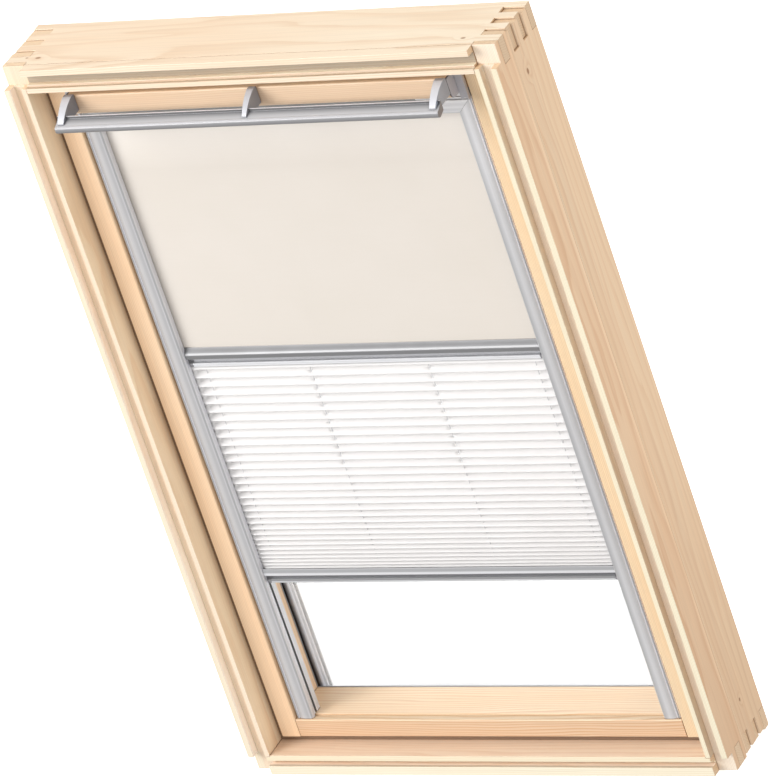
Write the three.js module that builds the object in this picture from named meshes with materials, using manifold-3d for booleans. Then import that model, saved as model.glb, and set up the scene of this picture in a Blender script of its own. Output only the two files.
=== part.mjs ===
// Centre-pivot roof window with a two-layer blind in its sash.
// Millimetres. X runs across, Y from the room to the outside, Z up the slope of the roof.
// The origin is the centre of the frame's underside.
import * as THREE from 'three';
import * as BufferGeometryUtils from 'three/addons/utils/BufferGeometryUtils.js';
import Module from 'manifold-3d';

const wasm = await Module();
wasm.setup();

// Gaps between pieces that meet, and how far a cutter runs past what it cuts
const seam = 0.3;
const glassSeam = 0.2;
const overrun = 6;

// Outer frame, with depths counted from the front of its outer ridge
const frameWidth = 780;
const frameHeight = 1178;
const frameDepth = 127;
const jambWidth = 35.5;
const headHeight = 37.2;
const sillHeight = 31.9;
const outerRidgeWidth = 9.5;
const innerRidgeWidth = 7.6;
const sillOuterRidge = 14.5;
const sillInnerRidge = 9;
const sillRidgeReach = 6.5;
const innerRidgeSetback = 1.5;
const ridgeGrooveDepth = 13.5;
const ribWidth = 3.4;
const ribSetback = 6.5;
const cornerBlockSetback = 15;
const cornerBlockHeight = 30;
const topLineDepth = 17;
const topLineSize = 1;
const sideLineDepth = 48;
const sideLineWidth = 4;
const sideLineCut = 1.5;

// Finger joints at the frame's corners
const fingerLength = 33;
const fingerShares = [0, 0.09, 0.23, 0.36, 0.5, 0.625, 0.75, 0.875, 1];
const flushFingerRecess = 1.4;
const deepFingerRecess = 3.4;
const narrowRecess = 5;

// Sash
const sashSideGap = 8.5;
const sashTopGap = 9.8;
const sashBottomGap = 10.1;
const sashSetback = 35;
const stileWidth = 31.4;
const topRailHeight = 30;
const bottomRailHeight = 32.3;
const sashWoodDepth = 78;
const glassLipDepth = 15;
const arris = 1.2;
const ledgeStepDepth = 11.5;
const ledgeStepDrop = 3;

// Glass unit
const gasketThickness = 1.2;
const gasketShow = 0.8;
const paneThickness = 4;
const glassSpace = 15.6;
const spacerWidth = 12;
const spacerInset = 6.1;
const spacerDropBelowLedge = 16;

// Outside covers
const coverThickness = 1.6;
const coverSideLap = 39;
const coverBottomLap = 14;
const coverEdgeInset = 0.5;
const coverTopInset = 6;
const coverBottomInset = 2;

// Seals in the gap round the sash
const sealSetback = 8;
const sealThickness = 8;
const sideSealWidth = 7.9;
const headSealHeight = 6.2;
const sillSealHeight = 7;
const sealTipThickness = 2.4;

// Sash pivot
const pivotPlateThickness = 2.5;
const pivotPlateLength = 78;
const pivotPlateWidth = 34;
const pivotDiscRadius = 14;
const pivotPinRadius = 5;
const pivotClearance = 0.3;

// Latch at the top of the sash
const lockSetback = 27;
const lockCaseWidth = 96;
const lockCaseDepth = 24;
const lockCaseHeight = 24;
const lockFloor = 1.5;
const boltWidth = 30;
const boltThickness = 11;
const boltLength = 18;
const boltRise = 2.6;
const boltBevel = 2;
const strikerWidth = 60;
const strikerPlate = 1.6;
const strikerDepth = 34;
const strikerLip = 3;
const strikerLipHeight = 6.3;

// Ventilation flap and its hinge
const flapDepth = 24.7;
const flapHeight = 33.2;
const flapTopInset = 0.5;
const flapPivotInset = 2.7;
const flapFrontRadius = 10;
const flapTopRadius = 2.5;
const flapPinRadius = 1.4;
const flapPinLength = 18;
const flapPinHold = 10;
const flapCapThickness = 2.6;
const bearingWidth = 12;
const bearingDepth = 5.7;
const bearingHeight = 44.5;
const bearingArchWidth = 9;
const bearingArchHeight = 3.4;

// Control bar and its brackets
const barReach = 47;
const barDepth = 17;
const barHeight = 19.5;
const barOverhang = 1;
const barBelowFlapTop = 14.3;
const barLipWidth = 2.4;
const barLipHeight = 3.4;
const barNose = 4.5;
const barSlope = 5;
const barFloorRise = 4;
const bracketTopWidth = 15;
const bracketFootWidth = 8.5;
const middleBracketTopWidth = 11.5;
const middleBracketFootWidth = 6;
const bracketEndInset = 8;
const bracketRise = 2.2;
const bracketTopLength = 7;
const bracketBulge = 2.4;
const bracketFootThickness = 2.4;
const bracketFootReach = 5;
const bracketWebBottom = 3.5;

// Blind casing and side rails
const railWidth = 26.5;
const railSideGap = 3.1;
const railFrontSetback = 2.2;
const railFlange = 7.4;
const railChannel = 16;
const railWall = 1.8;
const railRound = 4.4;
const railSlot = 4.6;
const trimShares = [
  [0, 1], [0.03, 0.45], [0.1, 0.12], [0.26, 0], [0.5, 0.02], [0.7, 0.16], [0.8, 0.34],
  [0.83, 0.62], [0.86, 0.62], [0.88, 0.3], [0.93, 0.22], [0.98, 0.34], [1, 0.6],
];
const casingWall = 1.6;
const casingDepth = 42;
const casingHeight = 41.2;
const casingSlotBack = 20;
const capThickness = 2.5;
const capMargin = 2;
const capCornerRadius = 5;

// Roller in the casing
const rollerRadius = 10.5;
const rollerWall = 1.2;
const rollRadius = 13;
const rollTopGap = 1.5;
const rollerEndGap = 8;
const rollerPinRadius = 3;
const rollerPinLength = 18;
const plugLength = 14;
const runningGap = 0.3;

// Cloths and bars of the blind
const clothThickness = 0.6;
const clothSetback = 12.8;
const clothEdgeInRail = 12;
const bandSetback = 8.1;
const bandDepth = 12;
const bandHeight = 17.4;
const bandEndInset = 6.6;
const bandRidge = 3.3;
const bandRecess = 8.2;
const bandRecessDepth = 5;
const bandLip = 2.5;
const bandLipStep = 0.8;
const tongueLength = 18;
const tongueHeight = 12;
const tongueGap = 1.2;
const neckGap = 0.8;
const middleBandBottom = 664.4;
const bottomBandBottom = 300;
const pleatCount = 32;
const pleatDepth = 13.2;
const pleatThickness = 0.8;
const pleatSideGap = 0.8;
const pleatFallShare = 0.72;
const pleatFallPower = 1.9;

// Smoothness of round forms
const pinSides = 20;
const discSides = 36;
const rollerSides = 32;
const cornerSteps = 5;

// Planes and lines that several pieces share
const halfWidth = frameWidth / 2;
const revealX = halfWidth - jambWidth;
const fingerX = halfWidth - fingerLength;
const headBottom = frameHeight - headHeight;
const sashX = revealX - sashSideGap;
const sashBottom = sillHeight + sashBottomGap;
const sashTop = headBottom - sashTopGap;
const openingX = sashX - stileWidth;
const ledge = sashBottom + bottomRailHeight;
const soffit = sashTop - topRailHeight;
const woodBack = sashSetback + sashWoodDepth;
const lipBack = woodBack + glassLipDepth;
const pivotZ = (sashBottom + sashTop) / 2;
const pivotY = (sashSetback + lipBack) / 2;
const spacerX = openingX - spacerInset;
const glassX = spacerX + spacerWidth;
const spacerTop = soffit - spacerInset;
const glassTop = spacerTop + spacerWidth;
const spacerBottom = ledge - spacerDropBelowLedge;
const coverX = sashX - coverEdgeInset;
const coverTop = sashTop - coverTopInset;
const coverBottom = sashBottom + coverBottomInset;
const glassBottom = coverBottom + coverThickness + seam;
const gasketY = woodBack + glassSeam;
const innerPaneY = gasketY + gasketThickness + glassSeam;
const spacerY = innerPaneY + paneThickness + glassSeam;
const outerPaneY = spacerY + glassSpace + glassSeam;
const coverY = outerPaneY + paneThickness + glassSeam;
const coverBack = coverY + coverThickness;
const sealY = sashSetback + sealSetback;
const lockY = sashSetback + lockSetback;
const boltY = lockY + lockCaseDepth / 2;
const flapX = openingX - seam - bearingWidth - seam;
const barX = flapX + barOverhang;
const bracketX = flapX - bracketEndInset;
const flapBack = sashSetback - seam;
const flapFront = flapBack - flapDepth;
const flapTop = sashTop - flapTopInset;
const flapBottom = flapTop - flapHeight;
const flapPivotY = flapBack - flapPivotInset;
const flapPivotZ = flapBottom + flapPivotInset;
const railOuterX = openingX - railSideGap;
const railInnerX = railOuterX - railWidth;
const trimY = sashSetback + railFrontSetback;
const channelFront = trimY + railFlange;
const channelBack = channelFront + railChannel;
const casingTop = soffit - seam;
const casingBottom = casingTop - casingHeight;
const casingBack = trimY + casingDepth;
const clothY = trimY + clothSetback;
const bandY = trimY + bandSetback;
const rollY = clothY + clothThickness / 2 + runningGap + rollRadius;
const rollZ = casingTop - casingWall - rollTopGap - rollRadius;
const bandX = railInnerX - bandEndInset;

// Closed solid from a closed outline swept straight along one axis.
// Outline points are (y, z) for x, (x, z) for y and (x, y) for z.
function prism(outline, axis, from, to, hole = null) {
  const shape = new THREE.Shape(outline.map(([u, v]) => new THREE.Vector2(u, v)));
  if (hole) shape.holes.push(new THREE.Path(hole.map(([u, v]) => new THREE.Vector2(u, v))));
  const geometry = new THREE.ExtrudeGeometry(shape, { depth: to - from, bevelEnabled: false });
  const place = new THREE.Matrix4();
  const [right, back, up] = [new THREE.Vector3(1, 0, 0), new THREE.Vector3(0, 1, 0), new THREE.Vector3(0, 0, 1)];
  if (axis === 'x') place.makeBasis(back, up, right).setPosition(from, 0, 0);
  if (axis === 'y') place.makeBasis(right, up, back.negate()).setPosition(0, to, 0);
  if (axis === 'z') place.setPosition(0, 0, from);
  return geometry.applyMatrix4(place);
}

const rectangle = (u0, u1, v0, v1) => [[u0, v0], [u1, v0], [u1, v1], [u0, v1]];

const block = (x0, x1, y0, y1, z0, z1) => prism(rectangle(x0, x1, y0, y1), 'z', z0, z1);

// Points of an arc, its angles counted in quarter turns
function arc(u, v, radius, startQuarter, endQuarter, steps = cornerSteps) {
  const points = [];
  for (let i = 0; i <= steps; i += 1) {
    const angle = (startQuarter + (endQuarter - startQuarter) * (i / steps)) * (Math.PI / 2);
    points.push([u + radius * Math.cos(angle), v + radius * Math.sin(angle)]);
  }
  return points;
}

const circle = (u, v, radius, sides) => arc(u, v, radius, 0, 4, sides).slice(0, sides);

function toSolid(geometry) {
  const plain = geometry.clone();
  plain.deleteAttribute('normal');
  plain.deleteAttribute('uv');
  const merged = BufferGeometryUtils.mergeVertices(plain);
  const vertProperties = merged.attributes.position.array;
  const triVerts = Uint32Array.from(merged.index.array);
  return new wasm.Manifold(new wasm.Mesh({ numProp: 3, vertProperties, triVerts }));
}

function toGeometry(solid) {
  const mesh = solid.getMesh();
  const geometry = new THREE.BufferGeometry();
  geometry.setAttribute('position', new THREE.BufferAttribute(mesh.vertProperties, 3));
  geometry.setIndex(new THREE.BufferAttribute(mesh.triVerts, 1));
  return geometry;
}

// Joins and then cuts, and gives the geometry back
function shaped(base, { joins = [], cuts = [] }) {
  let solid = toSolid(base);
  for (const join of joins) solid = solid.add(toSolid(join));
  for (const cut of cuts) solid = solid.subtract(toSolid(cut));
  return toGeometry(solid);
}

// The same shape on the other side of the window
function mirrored(geometry) {
  const flipped = geometry.clone();
  flipped.applyMatrix4(new THREE.Matrix4().makeScale(-1, 1, 1));
  if (!flipped.index) return reversed(BufferGeometryUtils.mergeVertices(flipped));
  return reversed(flipped);
}

function reversed(geometry) {
  const order = geometry.index.array;
  for (let i = 0; i < order.length; i += 3) [order[i], order[i + 2]] = [order[i + 2], order[i]];
  return geometry;
}

// Materials
const finish = (color, roughness, metalness) => ({ color, roughness, metalness });
const pine = finish(0xf0d0a2, 0.55, 0);
const sashPine = finish(0xecc393, 0.5, 0);
const aluminium = finish(0xc6c7cb, 0.35, 0.85);
const coverGrey = finish(0x6d6f71, 0.5, 0.6);
const steel = finish(0x9d9da0, 0.4, 0.9);
const greyPlastic = finish(0x8f8e90, 0.55, 0);
const rubber = finish(0x2c2a28, 0.85, 0);
const glass = finish(0xe9f1ef, 0.05, 0);
const spacerMetal = finish(0x9aa0a6, 0.45, 0.6);
const creamCloth = finish(0xece4d8, 0.9, 0);
const whiteCloth = finish(0xf6f5f3, 0.9, 0);

const window_ = new THREE.Group();
window_.position.y = -frameDepth / 2;

function add(name, geometry, { color, roughness, metalness }) {
  const mesh = new THREE.Mesh(geometry, new THREE.MeshStandardMaterial({ color, roughness, metalness }));
  mesh.name = name;
  window_.add(mesh);
}

// Outer frame: the timbers' corner fingers lie between these depths
const fingerY = fingerShares.map((share) => cornerBlockSetback + share * (frameDepth - cornerBlockSetback));
const fingerSpans = fingerY.slice(1).map((end, i) => [fingerY[i], end]);
const jambFingers = fingerSpans.filter((span, i) => i % 2 === 0);
const crossFingers = fingerSpans.filter((span, i) => i % 2 === 1);
const secondFingerEnd = jambFingers[1][1];
const recessedSpans = [[secondFingerEnd - narrowRecess, secondFingerEnd], ...jambFingers.slice(2)];

function jamb(recess) {
  const lineX = halfWidth - sideLineCut;
  const ridgeX = halfWidth - outerRidgeWidth;
  const lipX = revealX + innerRidgeWidth;
  const outline = [
    [revealX, frameDepth], [revealX, innerRidgeSetback], [lipX, innerRidgeSetback],
    [lipX, ridgeGrooveDepth], [ridgeX, ridgeGrooveDepth], [ridgeX, 0], [halfWidth, 0],
    [halfWidth, sideLineDepth], [lineX, sideLineDepth + topLineSize],
    [lineX, sideLineDepth + sideLineWidth - topLineSize], [halfWidth, sideLineDepth + sideLineWidth],
    [halfWidth, frameDepth],
  ];
  const [outside, inside] = [halfWidth + overrun, revealX - overrun];
  const blockTop = frameHeight - cornerBlockHeight;
  const above = frameHeight + overrun;
  const [headFace, sillFace] = [headBottom - seam, sillHeight + seam];
  const cuts = [
    block(inside, outside, -overrun, cornerBlockSetback, blockTop, above),
    block(inside, outside, -overrun, cornerBlockSetback, -overrun, cornerBlockHeight),
    block(inside, fingerX, fingerY[1], frameDepth + overrun, headFace, above),
    block(inside, fingerX, fingerY[1], frameDepth + overrun, -overrun, sillFace),
    block(inside, outside, topLineDepth, topLineDepth + topLineSize, frameHeight - topLineSize, above),
    block(inside, outside, topLineDepth, topLineDepth + topLineSize, -overrun, topLineSize),
  ];
  for (const [start, end] of crossFingers) {
    const [front, back] = [start - seam / 2, end < frameDepth ? end + seam / 2 : end + overrun];
    cuts.push(block(fingerX - overrun, outside, front, back, headFace, above));
    cuts.push(block(fingerX - overrun, outside, front, back, -overrun, sillFace));
  }
  for (const [start, end] of recessedSpans) {
    const [front, back] = [start - seam, end + seam];
    cuts.push(block(fingerX - overrun, outside, front, back, frameHeight - recess, above));
    cuts.push(block(fingerX - overrun, outside, front, back, -overrun, recess));
  }
  return shaped(prism(outline, 'z', 0, frameHeight), { cuts });
}

// Head or sill, its outline running from the outer face at 0 to the reveal at its height.
// The ridges reach past the reveal's plane, up to the height of the corner block.
function crossTimber(height, ridge, lipZ, reach, place) {
  const profile = [
    [frameDepth, height], [frameDepth, 0], [topLineDepth + topLineSize, 0],
    [topLineDepth + topLineSize, topLineSize], [topLineDepth, topLineSize], [topLineDepth, 0],
    [0, 0], [0, ridge], [ridgeGrooveDepth, ridge], [ridgeGrooveDepth, lipZ - ribWidth],
    [ribSetback, lipZ - ribWidth], [ribSetback, lipZ], [innerRidgeSetback, lipZ], [innerRidgeSetback, height],
  ];
  const outline = profile.map(([y, z]) => [y, place(z)]);
  const [low, high] = [-overrun, frameHeight + overrun];
  const blockLine = place(cornerBlockHeight - seam);
  const pastBlock = [Math.min(blockLine, place(height + overrun)), Math.max(blockLine, place(height + overrun))];
  const cuts = [];
  for (const side of [-1, 1]) {
    const recess = side < 0 ? flushFingerRecess : deepFingerRecess;
    const beside = (near, far, front, back, [from, to] = [low, high]) => {
      const [a, b] = [side * near, side * far];
      cuts.push(block(Math.min(a, b), Math.max(a, b), front, back, from, to));
    };
    beside(revealX + reach, halfWidth + overrun, -overrun, cornerBlockSetback + seam);
    beside(revealX - seam, halfWidth + overrun, cornerBlockSetback - seam, cornerBlockSetback + seam);
    beside(revealX - seam, halfWidth + overrun, -overrun, cornerBlockSetback + seam, pastBlock);
    jambFingers.forEach(([start, end], i) => {
      const shoulder = i === 0 ? revealX - seam : fingerX - seam;
      beside(shoulder, halfWidth + overrun, start - seam / 2, end + seam / 2);
    });
    for (const [start, end] of crossFingers.slice(1, 3)) {
      beside(halfWidth - recess, halfWidth + overrun, start - seam, end + seam);
    }
  }
  return shaped(prism(outline, 'x', -halfWidth, halfWidth), { cuts });
}

const headLip = headHeight - innerRidgeWidth;
const sillLip = sillHeight - sillInnerRidge;
add('frame_head', crossTimber(headHeight, outerRidgeWidth, headLip, -seam, (z) => frameHeight - z), pine);
add('frame_sill', crossTimber(sillHeight, sillOuterRidge, sillLip, sillRidgeReach, (z) => z), pine);
add('frame_left_jamb', mirrored(jamb(flushFingerRecess)), pine);
add('frame_right_jamb', jamb(deepFingerRecess), pine);

// Seals: a foot on the frame and a narrower tip towards the sash
const sealBack = sealY + sealThickness;
const sealTipY = sealY + (sealThickness - sealTipThickness) / 2;
const sealProfile = (foot, tip) => {
  const knee = (foot + tip) / 2;
  return [
    [sealY, foot], [sealBack, foot], [sealBack, knee],
    [sealTipY + sealTipThickness, tip], [sealTipY, tip], [sealY, knee],
  ];
};
const sealX = revealX - seam;
const headSealFoot = headBottom - seam;
const headSealTip = headSealFoot - headSealHeight;
const sillSealFoot = sillHeight + seam;
const sillSealTip = sillSealFoot + sillSealHeight;
const sideSeal = prism(
  sealProfile(sealX, sealX - sideSealWidth).map(([y, x]) => [x, y]),
  'z', sillSealTip + seam, headSealTip - seam,
);
add('seal_head', prism(sealProfile(headSealFoot, headSealTip), 'x', -sealX, sealX), rubber);
add('seal_sill', prism(sealProfile(sillSealFoot, sillSealTip), 'x', -sealX, sealX), rubber);
add('seal_left', mirrored(sideSeal), rubber);
add('seal_right', sideSeal, rubber);

// Sash pivot: a bored plate on each jamb, and a disc with its pin on each stile
const plateEnd = (pivotPlateLength - pivotPlateWidth) / 2;
const plateFace = sealX - pivotPlateThickness;
const plateOutline = [
  ...arc(pivotY, pivotZ + plateEnd, pivotPlateWidth / 2, 0, 2, cornerSteps * 2),
  ...arc(pivotY, pivotZ - plateEnd, pivotPlateWidth / 2, 2, 4, cornerSteps * 2),
];
const plateBore = circle(pivotY, pivotZ, pivotPinRadius + pivotClearance, discSides);
const pivotPlate = prism(plateOutline, 'x', plateFace, sealX, plateBore);
const disc = prism(circle(pivotY, pivotZ, pivotDiscRadius, discSides), 'x', sashX + seam, plateFace - seam);
const pin = prism(circle(pivotY, pivotZ, pivotPinRadius, discSides), 'x', sashX + seam, sealX);
const pivotDisc = shaped(disc, { joins: [pin] });
add('pivot_plate_left', mirrored(pivotPlate), steel);
add('pivot_plate_right', pivotPlate, steel);
add('pivot_disc_left', mirrored(pivotDisc), steel);
add('pivot_disc_right', pivotDisc, steel);

// Sash: stiles run the full height, with the rails between them
const lipX = glassX + seam;
const stileOutline = [
  [openingX, woodBack], [openingX, sashSetback + arris], [openingX + arris, sashSetback],
  [sashX - arris, sashSetback], [sashX, sashSetback + arris], [sashX, lipBack],
  [lipX, lipBack], [lipX, woodBack],
];
const stile = prism(stileOutline, 'z', sashBottom, sashTop);
add('sash_left_stile', mirrored(stile), sashPine);
add('sash_right_stile', stile, sashPine);

const railX = openingX - glassSeam;
const topRailOutline = [
  [woodBack, soffit], [sashSetback + arris, soffit], [sashSetback, soffit + arris],
  [sashSetback, sashTop - arris], [sashSetback + arris, sashTop], [lipBack, sashTop],
  [lipBack, glassTop + seam], [woodBack, glassTop + seam],
];
const lockHalf = lockCaseWidth / 2 + seam;
const lockFoot = sashTop - lockCaseHeight - seam;
const lockPocket = block(
  -lockHalf, lockHalf, lockY - seam, lockY + lockCaseDepth + seam, lockFoot, sashTop + overrun,
);
add('sash_top_rail', shaped(prism(topRailOutline, 'x', -railX, railX), { cuts: [lockPocket] }), sashPine);

const stepBack = sashSetback + ledgeStepDepth;
const bottomRailOutline = [
  [woodBack, sashBottom], [sashSetback + arris, sashBottom], [sashSetback, sashBottom + arris],
  [sashSetback, ledge - ledgeStepDrop - arris], [sashSetback + arris, ledge - ledgeStepDrop],
  [stepBack, ledge - ledgeStepDrop], [stepBack, ledge], [woodBack, ledge],
];
add('sash_bottom_rail', prism(bottomRailOutline, 'x', -railX, railX), sashPine);

// Glass unit, from the room outwards
const unitOutline = rectangle(-glassX, glassX, glassBottom, glassTop);
const gasketX = openingX - gasketShow;
const gasketHole = rectangle(-gasketX, gasketX, ledge + gasketShow, soffit - gasketShow);
const spacerHole = rectangle(-spacerX, spacerX, spacerBottom, spacerTop);
add('glazing_gasket', prism(unitOutline, 'y', gasketY, gasketY + gasketThickness, gasketHole), rubber);
add('inner_pane', prism(unitOutline, 'y', innerPaneY, innerPaneY + paneThickness), glass);
add('glass_spacer', prism(unitOutline, 'y', spacerY, spacerY + glassSpace, spacerHole), spacerMetal);
add('outer_pane', prism(unitOutline, 'y', outerPaneY, outerPaneY + paneThickness), glass);

// Outside covers: a lap over the glass and a leg down past its edge
const coverLap = (outer, inward, lap, legFrom) => {
  const [leg, inner] = [outer + inward * coverThickness, outer + inward * lap];
  return [[inner, coverY], [leg, coverY], [leg, legFrom], [outer, legFrom], [outer, coverBack], [inner, coverBack]];
};
const sideCover = prism(coverLap(coverX, -1, coverSideLap, lipBack + seam), 'z', coverBottom, coverTop);
const crossCoverX = coverX - coverSideLap - seam;
const crossCover = (edge, inward, lap, legFrom) => {
  const outline = coverLap(edge, inward, lap, legFrom).map(([z, y]) => [y, z]);
  return prism(outline, 'x', -crossCoverX, crossCoverX);
};
add('cover_left', mirrored(sideCover), coverGrey);
add('cover_right', sideCover, coverGrey);
add('cover_top', crossCover(coverTop, -1, coverSideLap, lipBack + seam), coverGrey);
add('cover_bottom', crossCover(coverBottom, 1, coverBottomLap, woodBack + seam), coverGrey);

// Latch: case in the top rail, bolt that drops into it, striker on the head
const caseHalf = lockCaseWidth / 2;
const boltHalf = boltWidth / 2;
const boltHole = block(
  -boltHalf - runningGap, boltHalf + runningGap,
  boltY - boltThickness / 2 - runningGap, boltY + boltThickness / 2 + runningGap,
  sashTop - lockCaseHeight + lockFloor, sashTop + overrun,
);
const lockBody = block(-caseHalf, caseHalf, lockY, lockY + lockCaseDepth, sashTop - lockCaseHeight, sashTop - seam);
add('lock_case', shaped(lockBody, { cuts: [boltHole] }), steel);

const boltTop = sashTop + boltRise;
const [boltFront, boltBack] = [boltY - boltThickness / 2, boltY + boltThickness / 2];
const boltOutline = [
  [boltFront, boltTop - boltLength], [boltBack, boltTop - boltLength],
  [boltBack, boltTop - boltBevel], [boltBack - boltBevel, boltTop], [boltFront, boltTop],
];
add('latch_bolt', prism(boltOutline, 'x', -boltHalf, boltHalf), steel);

const strikerTop = headBottom - seam;
const strikerFront = boltFront - runningGap - strikerLip;
const strikerOutline = [
  [strikerFront, strikerTop - strikerLipHeight], [strikerFront + strikerLip, strikerTop - strikerLipHeight],
  [strikerFront + strikerLip, strikerTop - strikerPlate], [strikerFront + strikerDepth, strikerTop - strikerPlate],
  [strikerFront + strikerDepth, strikerTop], [strikerFront, strikerTop],
];
add('striker_plate', prism(strikerOutline, 'x', -strikerWidth / 2, strikerWidth / 2), steel);

// Ventilation flap, rounded round its hinge line and along its lower front edge
const flapOutline = [
  ...arc(flapPivotY, flapPivotZ, flapPivotInset, 0, -1),
  ...arc(flapFront + flapFrontRadius, flapBottom + flapFrontRadius, flapFrontRadius, -1, -2),
  ...arc(flapFront + flapTopRadius, flapTop - flapTopRadius, flapTopRadius, 2, 1),
  [flapBack, flapTop],
];
const flapPinHole = (x0, x1) => prism(circle(flapPivotY, flapPivotZ, flapPinRadius + seam, pinSides), 'x', x0, x1);
const flapHoles = [
  flapPinHole(flapX - flapPinHold - seam, flapX + overrun),
  flapPinHole(-flapX - overrun, -flapX + flapPinHold + seam),
];
const flapWoodX = flapX - flapCapThickness - seam;
add('ventilation_flap', shaped(prism(flapOutline, 'x', -flapWoodX, flapWoodX), { cuts: flapHoles }), pine);

const flapCap = shaped(prism(flapOutline, 'x', flapX - flapCapThickness, flapX), { cuts: flapHoles });
add('flap_cap_left', mirrored(flapCap), greyPlastic);
add('flap_cap_right', flapCap, greyPlastic);

const flapPinStart = flapX - flapPinHold;
const flapPin = prism(
  circle(flapPivotY, flapPivotZ, flapPinRadius, pinSides), 'x', flapPinStart, flapPinStart + flapPinLength,
);
add('flap_pin_left', mirrored(flapPin), steel);
add('flap_pin_right', flapPin, steel);

// Bearing plates at the flap's ends, arched at the foot
const bearingX = flapX + seam;
const bearingMid = bearingX + bearingWidth / 2;
const bearingFoot = flapTop - bearingHeight;
const archHalf = bearingArchWidth / 2;
const archPoints = [];
for (let i = 0; i <= cornerSteps * 2; i += 1) {
  const share = (i / (cornerSteps * 2)) * 2 - 1;
  archPoints.push([bearingMid + share * archHalf, bearingFoot + bearingArchHeight * (1 - share * share)]);
}
const bearingOutline = [
  [bearingX, flapTop], [bearingX, bearingFoot], ...archPoints,
  [bearingX + bearingWidth, bearingFoot], [bearingX + bearingWidth, flapTop],
];
const bearingPlate = prism(bearingOutline, 'y', flapBack - bearingDepth, flapBack);
const bearingBoreEnd = flapPinStart + flapPinLength + seam;
const bearing = shaped(bearingPlate, { cuts: [flapPinHole(bearingX - overrun, bearingBoreEnd)] });
add('flap_bearing_left', mirrored(bearing), greyPlastic);
add('flap_bearing_right', bearing, greyPlastic);

// Control bar: a sloping grip with a raised lip along its rear edge and a rounded nose
const barFront = flapFront - barReach;
const barBack = barFront + barDepth;
const barTop = flapTop - barBelowFlapTop;
const barBottom = barTop - barHeight;
const barDeckBack = barTop - barLipHeight;
const barDeckFront = barDeckBack - barSlope;
const barOutline = [
  [barBack, barTop], [barBack - barLipWidth, barTop], [barBack - barLipWidth, barDeckBack],
  ...arc(barFront + barNose, barDeckFront - barNose, barNose, 1, 2),
  ...arc(barFront + barNose, barBottom + barNose, barNose, 2, 3),
  [barBack, barBottom + barFloorRise],
];
add('control_bar', prism(barOutline, 'x', -barX, barX), aluminium);

// Brackets: a bowed plate from the flap's top to the bar's deck over a web against the flap
const bracketTop = flapTop + bracketRise;
const footFront = barFront + bracketFootReach;
const deckAt = (y) => barDeckBack - barSlope * ((barBack - barLipWidth - y) / (barDepth - barLipWidth - barNose));
const bracketBow = [];
const bowStart = [flapFront - seam - bracketTopLength, bracketTop];
const bowEnd = [footFront, deckAt(footFront) + seam + bracketFootThickness];
for (let i = 0; i <= cornerSteps * 2; i += 1) {
  const share = i / (cornerSteps * 2);
  const rise = 4 * bracketBulge * share * (1 - share);
  const y = bowStart[0] + (bowEnd[0] - bowStart[0]) * share;
  bracketBow.push([y - rise / 2, bowStart[1] + (bowEnd[1] - bowStart[1]) * share + rise]);
}
const lipRear = barBack + seam;
const lipFront = barBack - barLipWidth - seam;
const bracketOutline = [
  [flapFront - seam, bracketTop], ...bracketBow, [footFront, deckAt(footFront) + seam],
  [lipFront, deckAt(lipFront) + seam], [lipFront, barTop + seam], [lipRear, barTop + seam],
  [lipRear, barBottom + barFloorRise + bracketWebBottom], [flapFront - seam, flapBottom + flapFrontRadius],
];
function bracket(x, topWidth, footWidth) {
  const [wide, narrow] = [topWidth / 2, footWidth / 2];
  const backY = flapFront;
  const frontY = barFront - overrun;
  const side = (sign) => {
    const outline = [
      [x + sign * wide, backY], [x + sign * narrow, frontY],
      [x + sign * (wide + overrun), frontY], [x + sign * (wide + overrun), backY],
    ];
    return prism(outline, 'z', barBottom - overrun, bracketTop + overrun);
  };
  return shaped(prism(bracketOutline, 'x', x - wide, x + wide), { cuts: [side(-1), side(1)] });
}
add('bracket_left', bracket(-bracketX, bracketTopWidth, bracketFootWidth), aluminium);
add('bracket_middle', bracket(0, middleBracketTopWidth, middleBracketFootWidth), aluminium);
add('bracket_right', bracket(bracketX, bracketTopWidth, bracketFootWidth), aluminium);

// Front of rails and casing: a crowned face with a fine groove and an outer lip
const trimFace = (inner, direction) => trimShares.map(([across, back]) => [
  inner + direction * across * railWidth, trimY + back * railRound,
]);

// Side rails: a channel with a slot at the cloth, mitred at the top to the casing.
// The flange hangs in front of the ledge's riser, down to the step.
const railBack = channelBack + railWall;
const slotFront = clothY - railSlot / 2;
const railSlotBack = clothY + railSlot / 2;
const innerWallX = railInnerX + railWall;
const railOutline = [
  ...trimFace(railInnerX, 1), [railOuterX, railBack], [railInnerX, railBack],
  [railInnerX, railSlotBack], [innerWallX, railSlotBack], [innerWallX, channelBack],
  [railOuterX - railWall, channelBack], [railOuterX - railWall, channelFront],
  [innerWallX, channelFront], [innerWallX, slotFront], [railInnerX, slotFront],
];
const mitreTop = casingBottom + railWidth;
const railMitre = [
  [railInnerX - overrun, casingBottom - overrun - seam], [railOuterX + overrun, mitreTop + overrun - seam],
  [railOuterX + overrun, mitreTop + railWidth], [railInnerX - overrun, mitreTop + railWidth],
];
const [railCutX, railCutEnd] = [railInnerX - overrun, railOuterX + overrun];
const rail = shaped(prism(railOutline, 'z', ledge - ledgeStepDrop + seam, mitreTop), {
  cuts: [
    prism(railMitre, 'y', trimY - overrun, railBack + overrun),
    block(railCutX, railCutEnd, channelFront - seam, railBack + overrun, casingBottom - seam, mitreTop + overrun),
    block(railCutX, railCutEnd, channelFront, railBack + overrun, ledge - ledgeStepDrop - overrun, ledge + seam),
  ],
});
add('rail_left', mirrored(rail), aluminium);
add('rail_right', rail, aluminium);

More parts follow.
